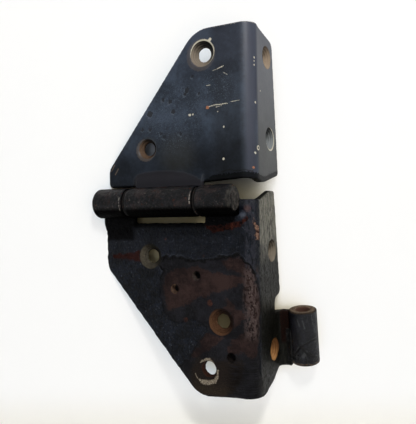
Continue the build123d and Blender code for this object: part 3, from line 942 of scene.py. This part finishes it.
def makeCowlPaint():
    look, tones = cowlFinish, tonesOf(cowlFinish)
    material, tree, shader = newFinish("cowlPaint")
    here = cowlPlaces(tree)
    at, own, along, up, ragged, masks = here.at, here.own, here.along, here.up, here.ragged, here.masks
    crust = place(tree, "crust", Place=own)
    rust = place(tree, "rust", Place=own, Age=0.5)
    smooth = ease(tree, added(tree, up, ragged, 14.0), *look["smoothRise"], 0.0, 0.6)
    colour = blendColour(tree, blendValue(tree, smooth, crust["Tone"], 0.45), tones["paint"],
                         tones["paintLight"])
    colour = coat(tree, colour, tones["glint"], crust["Glint"], 0.45)
    rows = grain(tree, stretched(tree, own, 0.16, 0.16, 1.5), 1.0, 4, 0.65)
    combed = times(tree, within(tree, along, *look["combedStrip"], 4.0), ease(tree, up, *look["combedRise"]))
    colour = coat(tree, colour, cowlThin(tree, here, combed, rows), masks["thin"])

    strip = times(tree, within(tree, along, *look["primerStrip"], 2.6),
                  within(tree, up, *look["primerRise"], 4.0))
    patchy = grain(tree, stretched(tree, at, 0.5, 0.5, 0.25), 1.0, 5, 0.7)
    bared = times(tree, strip, ease(tree, patchy, 0.46, 0.53))
    high = ease(tree, up, *look["highRise"], 0.15, 1.0)
    colour = cowlBend(tree, here, colour, strip, bared, high)
    raggedUp, raggedOut = added(tree, up, ragged, 3.0), added(tree, here.outboard, ragged, 3.0)
    corners = []
    for rise, outboard in look["corners"]:
        corners.append(times(tree, ease(tree, raggedUp, *rise), ease(tree, raggedOut, *outboard)))
    cornerShade = anyOf(tree, *corners)
    colour = cowlRust(tree, here, colour, cornerShade, rust)
    colour = cowlFlange(tree, here, colour)
    outboard, rise = look["arm"]
    onArm = times(tree, ease(tree, here.outboard, *outboard), ease(tree, up, *rise))
    arm = blendColour(tree, ease(tree, here.fine, 0.42, 0.58), tones["armDark"], tones["arm"])
    colour = coat(tree, colour, arm, onArm)
    edge = times(tree, fade(tree, added(tree, stored(tree, "rim"), ragged, 1.4), 0.6, 1.4), here.onFlange)
    colour = darken(tree, times(tree, edge, 0.85), colour, 0.12)
    bare, colour = cowlHoles(tree, here, colour)

    rusty = anyOf(tree, masks["red"], masks["streak"], masks["bend"], cornerShade, onArm)
    dull = anyOf(tree, bare, rusty, times(tree, masks["thin"], anyOf(tree, masks["primer"], masks["brown"])),
                 bared)
    rough = added(tree, look["roughness"] - 0.12, crust["Tone"], 0.2)
    thick = calc(tree, "SUBTRACT", 1.0, anyOf(tree, masks["thin"], here.onFlange), clamp=True)
    height = calc(tree, "MULTIPLY", crust["Height"], blendValue(tree, thick, 0.2, 1.0))
    for mask, share in ((times(tree, thick, high), 0.5), (turnedRings(tree, at, look["holes"][:2]), 0.1),
                        (times(tree, anyOf(tree, rusty, bare), rust["Height"]), 0.4),
                        (times(tree, combed, rows), 0.5), (times(tree, strip, patchy), 1.6)):
        height = added(tree, height, mask, share)
    skin = dressBarrel(tree, own, {
        "colour": colour,
        "rough": blendValue(tree, dull, rough, 0.72),
        "specular": blendValue(tree, dull, blendValue(tree, thick, 0.08, look["specular"]), 0.06),
        "height": height,
        "barrelRelief": 0.35,
    })
    wear(tree, shader, skin, 1.1)
    return material


# bare steel and weld paint
steelFinish = {
    "pinSteel": {"tones": ((6, 6, 6), (84, 79, 74)), "rough": 0.6, "relief": 0.3},
    "washerSteel": {"tones": ((3, 3, 3), (16, 13, 12)), "rough": 0.7, "relief": 0.1},
    "weldPaint": {"tones": ((7, 8, 10), (34, 34, 34)), "rough": 0.5, "relief": 0.2},
}


def makeSteel(name):
    # bare steel gone brown, between its two tones
    look = steelFinish[name]
    dark, light = [paintColour(*tone) for tone in look["tones"]]
    material, tree, shader = newFinish(name)
    own = ownCoordinates(tree)
    rust = place(tree, "rust", Place=own, Age=0.4)
    worn = blendColour(tree, ease(tree, grain(tree, own, 0.4, 5, 0.7), 0.38, 0.66), dark, light)
    speck = ease(tree, grain(tree, own, 0.7, 4, 0.7), 0.6, 0.68)
    skin = {
        "colour": coat(tree, worn, rust["Colour"], speck, 0.4),
        "rough": added(tree, look["rough"], rust["Height"], 0.2),
        "specular": 0.2,
        "height": rust["Height"],
    }
    wear(tree, shader, skin, look["relief"])
    return material


# the finish of the door eye; places are seen from the front: outboard, and up
eyeFinish = {
    "tones": {
        "paint": (6, 7, 10), "paintLight": (27, 28, 37), "crackAndShadow": (2, 2, 3), "chip": (58, 60, 62),
        "tan": (120, 96, 72), "ring": (116, 98, 80), "ringDark": (42, 32, 28),
        "boreBrown": (84, 60, 50),
    },
    "knocks": [
        ((64.1, -37.8), (68.9, -43.4), 1.5), ((68.9, -43.4), (73.0, -45.2), 1.2),
        ((57.1, -47.9), (59.2, -44.4), 1.0), ((59.2, -44.4), (64.1, -37.8), 1.1),
        ((64.1, -37.8), (69.1, -34.9), 0.9), ((69.1, -34.9), (74.5, -31.8), 1.2),
        ((57.3, -38.0), (58.4, -34.0), 0.8),
    ],
    "rubs": [
        ((65.2, -44.4), (67.4, -41.0), 2.0), ((71.3, -17.6), (72.4, -29.5), 0.35),
        ((61.4, -40.6), (62.8, -38.4), 1.2), ((73.6, -43.0), (74.4, -38.0), 1.0),
        ((63.2, -20.6), (64.4, -24.8), 0.9), ((66.4, -21.0), (67.4, -26.0), 0.7),
    ],
    "axisFoot": inMillimetres(mount("door_eye_bore")["pos_m"]),
    "axis": mount("door_eye_bore")["axis"],
    "length": 35.0,
    # from and to along the tube from its middle, and out from its axis
    "lowerEnd": (-11.0, -6.0),
    "boreEdge": (4.5, 4.9),
    "rimShade": (7.2, 8.2),
}


def makeEyePaint():
    look, tones = eyeFinish, tonesOf(eyeFinish)
    material, tree, shader = newFinish("eyePaint")
    own = ownCoordinates(tree)
    paint = place(tree, "paint", Place=own)
    crust = place(tree, "crust", Place=own)
    rust = place(tree, "rust", Place=own, Age=0.4)
    axis = tuple(look["axis"])
    offset = vectorCalc(tree, "SUBTRACT", own, tuple(look["axisFoot"]))
    along = vectorCalc(tree, "DOT_PRODUCT", offset, axis, "Value")
    across = lengthOf(tree, vectorCalc(tree, "CROSS_PRODUCT", offset, axis))
    ragged = unevenness(tree, own, 0.7, 5, 0.7)
    fine = grain(tree, own, 1.5, 4, 0.7)
    colour = coat(tree, tones["paint"], tones["paintLight"], crust["Tone"], 0.8)
    lower = fade(tree, added(tree, along, ragged, 6.0), *look["lowerEnd"])
    cracks = apart(tree, grain(tree, own, 0.16, 3, 0.6, 0.5), 0.5)
    cracks = times(tree, fade(tree, cracks, 0.02, 0.06), lower)
    colour = coat(tree, colour, tones["crackAndShadow"], cracks, 0.95)
    chips = times(tree, ease(tree, lower, 0.0, 1.0, 0.3, 1.0),
                  ease(tree, grain(tree, own, 0.5, 4, 0.7), 0.57, 0.63))
    colour = coat(tree, colour, tones["chip"], chips, 0.7)
    colour = coat(tree, colour, tones["chip"], scratches(tree, own, look["rubs"], 1.6, 0.2), 0.75)
    knocks = scratches(tree, own, look["knocks"], 1.4, 0.2)
    colour = coat(tree, colour, tones["crackAndShadow"], knocks, 0.95)
    fromEnd = calc(tree, "SUBTRACT", look["length"] / 2, calc(tree, "ABSOLUTE", along))
    fromFoot = calc(tree, "ADD", along, look["length"] / 2)
    foot = times(tree, fade(tree, added(tree, fromFoot, ragged, 5.0), 1.2, 2.4), ease(tree, fine, 0.46, 0.56))
    colour = coat(tree, colour, tones["tan"], foot, 0.7)
    ends = fade(tree, added(tree, fromEnd, ragged, 1.6), 0.4, 0.9)
    ring = blendColour(tree, ease(tree, fine, 0.38, 0.6), tones["ringDark"], tones["ring"])
    ring = darken(tree, ease(tree, across, *look["rimShade"]), ring, 0.3)
    colour = coat(tree, colour, ring, ends)
    bore = fade(tree, across, *look["boreEdge"])
    colour = coat(tree, colour, tones["boreBrown"], bore)
    bare = anyOf(tree, ends, bore)
    relief = calc(tree, "MULTIPLY", crust["Height"], 0.35)
    height = added(tree, relief, times(tree, bare, rust["Height"]), 0.3)
    skin = {
        "colour": colour,
        "rough": blendValue(tree, bare, added(tree, 0.38, paint["Mottle"], 0.2), 0.75),
        "specular": blendValue(tree, bare, 0.25, 0.1),
        "height": calc(tree, "SUBTRACT", height, anyOf(tree, cracks, knocks)),
    }
    wear(tree, shader, skin, 0.8)
    return material


# visible pieces made from the CAD solids
def evenMesh(nodeName, pieceName, voxel, rounds):
    # a copy of the solid in even facets, its sheared edges softened
    source = frame["nodes"][nodeName].data.copy()
    form = bmesh.new()
    form.from_mesh(source)
    bmesh.ops.remove_doubles(form, verts=form.verts, dist=0.001 * mm)
    form.to_mesh(source)
    form.free()
    piece = bpy.data.objects.new(pieceName, source)
    scene.collection.objects.link(piece)
    even = piece.modifiers.new("even", "REMESH")
    even.mode = "VOXEL"
    even.voxel_size = voxel * mm
    graph = bpy.context.evaluated_depsgraph_get()
    mesh = bpy.data.meshes.new_from_object(piece.evaluated_get(graph))
    piece.modifiers.clear()
    piece.data = mesh
    mesh.name = pieceName
    mesh.materials.clear()
    form = bmesh.new()
    form.from_mesh(mesh)
    for _ in range(rounds):
        bmesh.ops.smooth_vert(form, verts=form.verts, factor=0.5, use_axis_x=True, use_axis_y=True,
                              use_axis_z=True)
    for face in form.faces:
        face.smooth = True
    form.to_mesh(mesh)
    form.free()
    print(pieceName, "facets:", len(mesh.polygons))
    return piece


def points(mesh):
    flat = np.empty(len(mesh.vertices) * 3)
    mesh.vertices.foreach_get("co", flat)
    return flat.reshape(-1, 3) / mm


def outwards(mesh):
    flat = np.empty(len(mesh.vertices) * 3)
    mesh.vertices.foreach_get("normal", flat)
    return flat.reshape(-1, 3)


def push(mesh, distance):
    # moves each vertex along its own normal, in millimetres
    moved = points(mesh) + outwards(mesh) * distance[:, None]
    mesh.vertices.foreach_set("co", (moved * mm).ravel())
    mesh.update()


def store(mesh, name, values):
    kind, field = ("FLOAT_VECTOR", "vector") if values.ndim == 2 else ("FLOAT", "value")
    mesh.attributes.new(name, kind, "POINT").data.foreach_set(field, values.astype(np.float32).ravel())


def flatten(where):
    # along the flattened plate, in through its thickness, and up
    x, y, z = where.T
    turnX, turnY = x - plate["bendX"], y - plate["bendY"]
    angle = np.arctan2(turnX, -turnY)
    onBend = (turnX > 0) & (turnY < 0)
    onFlange = (turnX > 0) & (turnY >= 0)
    along = np.where(onBend, plate["bendX"] + plate["bendRadius"] * angle, x)
    along = np.where(onFlange, plate["flangeStart"] + turnY, along)
    depth = np.where(onBend, plate["bendRadius"] - np.hypot(turnX, turnY), y - plate["faceY"])
    depth = np.where(onFlange, plate["flangeX"] - x, depth)
    return np.stack([along, depth, z], axis=1)


def clouds(where, size, seed):
    # smooth noise from -1 to 1
    return np.array([noise.noise(Vector(point) / size + Vector((seed, seed, seed))) for point in where])


def cloudLayers(where, layers):
    return sum(clouds(where, size, seed) * strength for size, seed, strength in layers)


def insideBy(blank, outline):
    # distance to the outline, positive inside it
    px, pz = blank[:, 0], blank[:, 2]
    nearest = np.full(len(blank), 1e9)
    inside = np.zeros(len(blank), bool)
    for (ax, az), (bx, bz) in zip(outline, outline[1:] + outline[:1]):
        ex, ez = bx - ax, bz - az
        share = np.clip(((px - ax) * ex + (pz - az) * ez) / (ex * ex + ez * ez), 0, 1)
        nearest = np.minimum(nearest, np.hypot(px - ax - share * ex, pz - az - share * ez))
        if az != bz:
            crosses = ((az > pz) != (bz > pz)) & (px < ex * (pz - az) / ez + ax)
            inside ^= crosses
    return np.where(inside, nearest, -nearest)


def lowestEdge(blank):
    # height above the plate's lower edge, found in narrow columns along the plate
    column = np.round(blank[:, 0]).astype(int)
    column -= column.min()
    lowest = np.full(column.max() + 1, 1e9)
    np.minimum.at(lowest, column, blank[:, 2])
    return blank[:, 2] - lowest[column]


def finishPiece(piece, node, body, material):
    piece.data.materials.append(material)
    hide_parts(node)
    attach(piece, body)


# facet size and rounds of softening
meshing = {
    "leaf": (0.62, 1),
    "eye": (0.45, 2),
    "weld": (0.3, 3),
}


def makeWindshieldLeaf():
    piece = evenMesh("windshield_leaf", "windshield_plate", *meshing["leaf"])
    blank = flatten(points(piece.data))
    store(piece.data, "blank", blank)
    store(piece.data, "arch", insideBy(blank, frameFinish["arch"]))
    # height above the lower edge, for the painted shade along it
    store(piece.data, "foot", lowestEdge(blank))
    finishPiece(piece, "windshield_leaf", "windshield", makeFramePaint())


crustForm = {
    # size, seed and strength of the clouds that fray the patches' outlines, and of the crust's lumps
    "fray": [(4.0, 3, 1.5), (1.7, 5, 0.9)],
    "lumps": [(3.2, 11, 0.2), (1.6, 13, 0.14)],
    "raised": 0.05,
    "peeled": 0.25,
    "faceDepth": 1.6,         # patches lie on the outer face only
    "barrelGap": (0.3, 1.5),  # the relief starts this far from the barrel, and grows over this distance
}


def makeCowlLeaf():
    piece = evenMesh("cowl_leaf", "cowl_plate", *meshing["leaf"])
    look, form = cowlFinish, crustForm
    mesh = piece.data
    where = points(mesh)
    blank = flatten(where)
    fray = cloudLayers(where, form["fray"])
    outer = np.clip((form["faceDepth"] - np.abs(blank[:, 1])) * 3, -4, 60)
    outlines = {
        "thin": [look["thinZone"]], "primer": look["primerPatches"], "brown": [look["brownPatch"]],
        "red": [look["redPatch"]], "streak": [look["streakPatch"]], "bend": look["bendFlakes"],
    }
    store(mesh, "blank", blank)
    edges = {}
    for name, patches in outlines.items():
        edge = np.max([insideBy(blank, patch) for patch in patches], axis=0) + fray
        edges[name] = np.minimum(edge, outer)
        store(mesh, name, edges[name])
    store(mesh, "rim", np.minimum(cowlHigh[1] - where[:, 1], 40))
    away = np.hypot(where[:, 1] - pivot[1], where[:, 2] - pivot[2]) - barrelRadius
    near, over = form["barrelGap"]
    free = np.clip((away - near) / over, 0, 1)
    crust = 1 - np.clip(edges["thin"] / 0.8 + 0.5, 0, 1)
    lumps = cloudLayers(where, form["lumps"])
    push(mesh, free * (form["raised"] - form["peeled"] * (1 - crust) + crust * lumps))
    finishPiece(piece, "cowl_leaf", "cowl", makeCowlPaint())


def makeDoorEye():
    piece = evenMesh("door_eye", "door_eye_tube", *meshing["eye"])
    finishPiece(piece, "door_eye", "cowl", makeEyePaint())


beadForm = {"pitch": 2.4, "bends": (3.0, 7, 2.0), "lumps": (1.6, 9, 0.12), "height": 0.12, "sunk": 0.1}


def makeWeld(node, material):
    # a bead laid in ripples
    piece = evenMesh(node, node + "_bead", *meshing["weld"])
    mesh = piece.data
    where = points(mesh)
    form = beadForm
    ripples = np.sin(where[:, 2] * form["pitch"] + cloudLayers(where, [form["bends"]]))
    push(mesh, ripples * form["height"] + cloudLayers(where, [form["lumps"]]) - form["sunk"])
    finishPiece(piece, node, "cowl", material)


def dressNode(name, material):
    data = frame["nodes"][name].data
    data.materials.clear()
    data.materials.append(material)


makeWindshieldLeaf()
makeCowlLeaf()
makeDoorEye()
dressNode("hinge_pin", makeSteel("pinSteel"))
washerSteel = makeSteel("washerSteel")
dressNode("thrust_washer_left", washerSteel)
dressNode("thrust_washer_right", washerSteel)
weldPaint = makeSteel("weldPaint")
makeWeld("eye_weld_front", weldPaint)
makeWeld("eye_weld_rear", weldPaint)
print("pieces made")


# camera, from the photograph's own perspective
cameraPlace = {
    "position": (168.09, -302.47, 43.67),
    "right": (0.89284, 0.45010, -0.01577),
    "up": (0.01718, 0.00095, 0.99985),
    "focal": 545.68,          # pixels
    "centre": (209.1, 214.16),
    "size": (416, 424),
    "sensor": 36,
    "clip": (0.01, 20),       # metres
}


def makeCamera():
    look = cameraPlace
    right, up = Vector(look["right"]).normalized(), Vector(look["up"]).normalized()
    back = right.cross(up).normalized()
    up = back.cross(right)
    data = bpy.data.cameras.new("camera")
    width, height = look["size"]
    data.sensor_width = look["sensor"]
    data.lens = look["focal"] * data.sensor_width / height
    data.shift_x = (width / 2 - look["centre"][0]) / height
    data.shift_y = (look["centre"][1] - height / 2) / height
    data.clip_start, data.clip_end = look["clip"]
    camera = bpy.data.objects.new("camera", data)
    scene.collection.objects.link(camera)
    turn = Matrix((right, up, back)).transposed().to_4x4()
    camera.matrix_world = Matrix.Translation(Vector(look["position"]) * mm) @ turn
    scene.camera = camera


# stage: a pale table close behind the hinge, as in the photograph, and a pale floor well below
stageLook = {
    "tableTurn": 24.0,       # degrees about the vertical
    "tableGap": 1.0,         # behind the flange's free edge
    "tableSize": 1600.0,
    "floorSize": 4000.0,
    "floorDrop": 150.0,
    # from and to in height, and towards the right
    "lowTable": (-96.0, -66.0),
    "shadeTurn": (58.0, 78.0),
    "sideTurn": (0.0, 60.0),
    "shadeReach": 60.0,      # how near a surface has to be to darken the table
    "openEnds": (0.2, 0.6),
    "pale": (0.95, 0.945, 0.92, 1),
    "shine": 0.72,
    # the table's low band beneath the hinge is painted as shade: it glows less and is warmer
    "lowShine": 0.22,
    "warm": (0.95, 0.93, 0.87, 1),
    "shadeWarm": paintColour(178, 165, 126),
    "shadeTintLeft": paintColour(216, 226, 234),
    "shadeTintRight": paintColour(246, 237, 216),
    "shadeCool": paintColour(140, 146, 158),
}


def makePale(name, asTable):
    # a pale surface with painted shade, darker where the hinge is near and in the narrow space behind the leaves;
    # the table can't be seen from its back
    material, tree, shader = newFinish(name)
    output = tree.nodes["Material Output"]
    # painted shade: ambient occlusion darkens and tints the surface near the hinge
    reach = stageLook["shadeReach"] * mm
    near = addNode(tree, "AmbientOcclusion", {"Distance": reach}, samples=24).outputs["AO"]
    openness = ease(tree, near, *stageLook["openEnds"])
    own = ownCoordinates(tree)
    parts = split(tree, own)
    turned = ease(tree, parts[2], *stageLook["shadeTurn"])
    shade = blendColour(tree, turned, stageLook["shadeWarm"], stageLook["shadeCool"])
    # painted shade beneath the hinge: lower down the surface is warmer
    lower = ease(tree, parts[2], *stageLook["lowTable"])
    pale = blendColour(tree, lower, stageLook["warm"], stageLook["pale"])
    feed(tree, shader.inputs["Base Color"], blendColour(tree, openness, shade, pale))
    feed(tree, shader.inputs["Roughness"], 0.9)
    shine = addNode(tree, "Emission", {"Color": (1, 1, 1, 1), "Strength": 1.0})
    path = addNode(tree, "LightPath").outputs
    seen = anyOf(tree, path["Is Camera Ray"], path["Is Glossy Ray"], path["Is Transmission Ray"])
    shineLevel = stageLook["shine"]
    if asTable:
        shineLevel = blendValue(tree, lower, stageLook["lowShine"], stageLook["shine"])
    share = calc(tree, "MULTIPLY", openness, shineLevel)
    if asTable:
        # painted shade on the table near the hinge: a faint bluish tint on the left, warm on the right
        side = ease(tree, parts[0], *stageLook["sideTurn"])
        faint = blendColour(tree, side, stageLook["shadeTintLeft"], stageLook["shadeTintRight"])
        lifted = added(tree, near, side, 0.16)
        glow = blendColour(tree, ease(tree, lifted, 0.5, 0.97), faint, (1, 1, 1, 1))
        glow = blendColour(tree, openness, shade, glow)
        feed(tree, shine.inputs["Color"], glow)
    lit = addNode(tree, "MixShader", {0: times(tree, seen, share), 1: shader.outputs[0], 2: shine.outputs[0]})
    if asTable:
        clear = addNode(tree, "BsdfTransparent")
        behind = addNode(tree, "NewGeometry").outputs["Backfacing"]
        lit = addNode(tree, "MixShader", {0: behind, 1: lit.outputs[0], 2: clear.outputs[0]})
    feed(tree, output.inputs["Surface"], lit.outputs[0])
    return material


def tableFrame():
    # a point of the table, its direction to the right and the way it faces
    turn = radians(stageLook["tableTurn"])
    right = Vector((cos(turn), sin(turn), 0))
    touch = Vector((plate["flangeX"], cowlHigh[1] + stageLook["tableGap"], 0))
    return touch, right, right.cross(Vector((0, 0, 1)))


def makeSheet(name, size, matrix, material):
    mesh = bpy.data.meshes.new(name)
    form = bmesh.new()
    bmesh.ops.create_grid(form, x_segments=1, y_segments=1, size=size / 2 * mm)
    bmesh.ops.transform(form, matrix=matrix, verts=form.verts)
    form.to_mesh(mesh)
    form.free()
    mesh.materials.append(material)
    sheet = bpy.data.objects.new(name, mesh)
    scene.collection.objects.link(sheet)


def makeStage():
    look = stageLook
    touch, right, facing = tableFrame()
    stand = Matrix((right, Vector((0, 0, 1)), facing)).transposed().to_4x4()
    makeSheet("table", look["tableSize"], Matrix.Translation(touch * mm) @ stand, makePale("paleTable", True))
    drop = Matrix.Translation((0, 0, cadBox[0].z - look["floorDrop"] * mm))
    makeSheet("floor", look["floorSize"], drop, makePale("paleFloor", False))


# light: a soft key from above, weaker fills round the object
lampLook = {
    "key": {"place": (360, -470, 540), "size": (130, 130), "power": 4.2, "colour": (1, 0.99, 0.97)},
    "front": {"place": (40, -760, 130), "size": (110, 460), "power": 0.66, "colour": (0.93, 0.97, 1)},
    "left": {"place": (-640, -260, 240), "size": (400, 400), "power": 0.4, "colour": (0.9, 0.95, 1)},
    "right": {"place": (660, -160, 240), "size": (400, 400), "power": 0.6, "colour": (1, 0.98, 0.95)},
    "back": {"place": (100, 640, 420), "size": (500, 500), "power": 3.0, "colour": (1, 1, 1)},
}
roomLook = {"diffuse": 0.15, "mirrored": 0.15}


def makeLamps():
    middle = (cadBox[0] + cadBox[1]) / 2
    for name, look in lampLook.items():
        data = bpy.data.lights.new(name, "AREA")
        data.shape = "RECTANGLE"
        data.size, data.size_y = look["size"][0] * mm, look["size"][1] * mm
        data.energy = look["power"]
        data.color = look["colour"]
        lamp = bpy.data.objects.new(name, data)
        scene.collection.objects.link(lamp)
        lamp.location = Vector(look["place"]) * mm
        lamp.rotation_mode = "QUATERNION"
        lamp.rotation_quaternion = (middle - lamp.location).to_track_quat("-Z", "Y")
    world = bpy.data.worlds.new("room")
    scene.world = world
    world.use_nodes = True
    tree = world.node_tree
    shine = tree.nodes["Background"]
    path = addNode(tree, "LightPath").outputs
    feed(tree, shine.inputs["Color"], (1, 1, 1, 1))
    strength = blendValue(tree, path["Is Glossy Ray"], roomLook["diffuse"], roomLook["mirrored"])
    seen = anyOf(tree, path["Is Camera Ray"], path["Is Transmission Ray"])
    feed(tree, shine.inputs["Strength"], blendValue(tree, seen, strength, 1.0))


makeCamera()
makeStage()
makeLamps()
scene.view_settings.view_transform = "Standard"
print("stage set")
